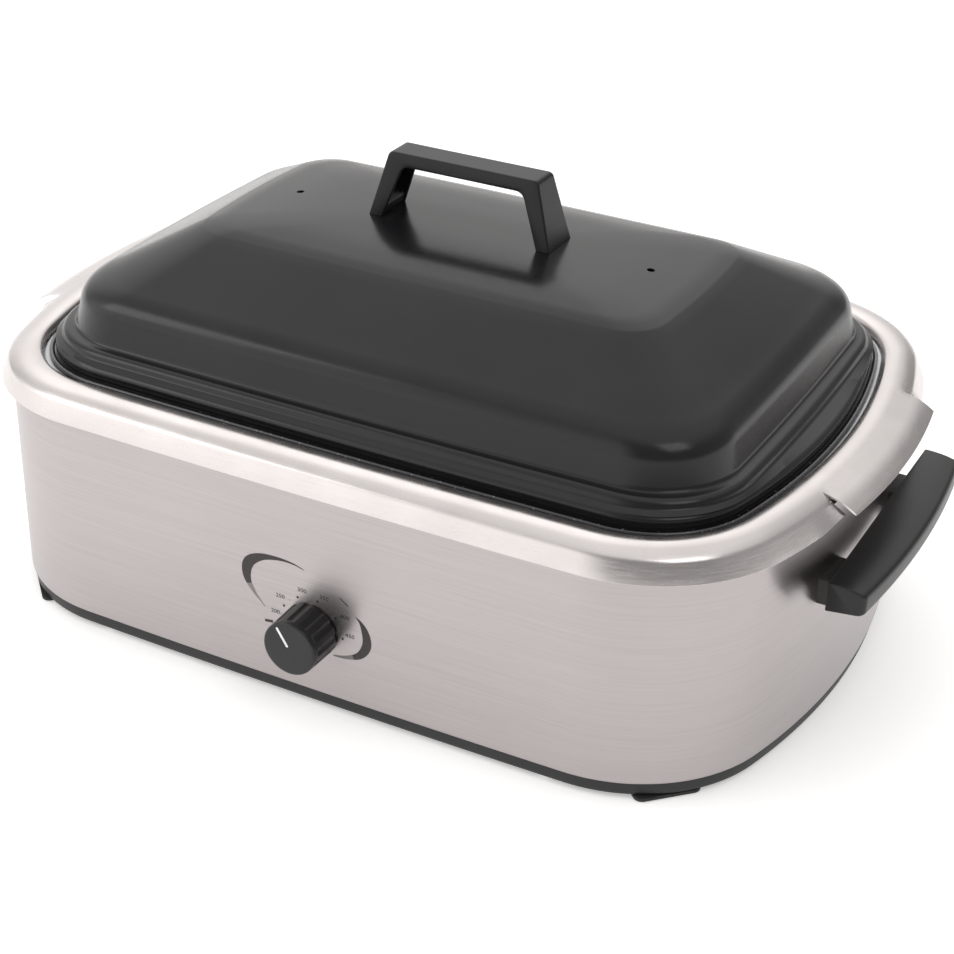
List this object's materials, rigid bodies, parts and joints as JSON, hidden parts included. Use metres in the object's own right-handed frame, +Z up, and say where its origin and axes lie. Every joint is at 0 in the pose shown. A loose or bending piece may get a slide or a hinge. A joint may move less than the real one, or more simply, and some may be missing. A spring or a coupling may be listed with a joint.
{
  "type": "electric roaster oven",
  "caption": "Countertop roaster oven: steel body with a turned dial, side handles and rim collar, a lift-out enamelled cookwell, a wire rack and a domed lid with a bridge handle.",
  "frame": {"origin": "on the surface that the oven stands on, under the middle of its oval body", "axes": "+X to the user's right along the length, -Y towards the user (the dial's side), +Z up"},
  "size_m": [0.6016, 0.4075, 0.279],
  "materials": {
    "brushed_steel": "brushed",
    "satin_steel": "satin",
    "lid_black": "satin",
    "enamel_black": "speckled gloss enamel",
    "handle_black": "satin moulded",
    "knob_black": "smooth",
    "pointer_white": "smooth",
    "base_black": "powder coat",
    "foot_black": "matte",
    "zinc_steel": "bright zinc plate",
    "galvanised": "dull",
    "insulation": "glass fibre",
    "phenolic": "moulded",
    "lead_white": "silicone sleeve",
    "chrome_wire": "plated"
  },
  "bodies": {
    "base": {"outer_shell": "brushed_steel", "rim_collar": "satin_steel", "heating_well": "galvanised", "base_pan": "base_black", "base_feet": "foot_black", "base_screws": "zinc_steel", "heat_shield": "galvanised", "tie_screws": "zinc_steel", "lower_spacers": "zinc_steel", "upper_spacers": "zinc_steel", "tie_nuts": "zinc_steel", "heating_band": "galvanised", "band_clamp_screw": "zinc_steel", "band_clamp_nut": "zinc_steel", "insulation_blanket": "insulation", "thermostat_case": "phenolic", "thermostat_plate": "zinc_steel", "thermostat_screws": "zinc_steel", "thermostat_terminals": "zinc_steel", "sensing_blade": "zinc_steel", "cord_bush": "handle_black", "line_lead": "lead_white", "neutral_lead": "lead_white", "heater_lead": "lead_white", "side_grip_right": "handle_black", "side_grip_left": "handle_black", "handle_bracket_right": "phenolic", "handle_bracket_left": "phenolic", "handle_screws": "zinc_steel"},
    "knob": {"control_spindle": "zinc_steel", "control_knob": "knob_black", "knob_pointer": "pointer_white"},
    "cookwell": {"cookwell_pan": "enamel_black"},
    "rack": {"rack_frame": "chrome_wire", "rack_rods": "chrome_wire", "rack_bails": "chrome_wire"},
    "lid": {"lid_shell": "lid_black", "lid_handle": "handle_black", "lid_screw_washers": "zinc_steel", "lid_handle_screws": "zinc_steel"}
  },
  "joints": [
    {"name": "knob_turn", "type": "hinge", "parent": "base", "child": "knob", "pos_m": [0.0026, -0.2, 0.0549], "axis": [0, 1, 0], "range_deg": [-67, 127]},
    {"name": "cookwell_lift", "type": "slide", "parent": "base", "child": "cookwell", "axis": [0, 0, 1], "range_m": [0, 0.145]},
    {"name": "lid_lift", "type": "slide", "parent": "cookwell", "child": "lid", "axis": [0, 0, 1], "range_m": [0, 0.1]},
    {"name": "rack_lift", "type": "slide", "parent": "cookwell", "child": "rack", "axis": [0, 0, 1], "range_m": [0, 0.132]}
  ]
}
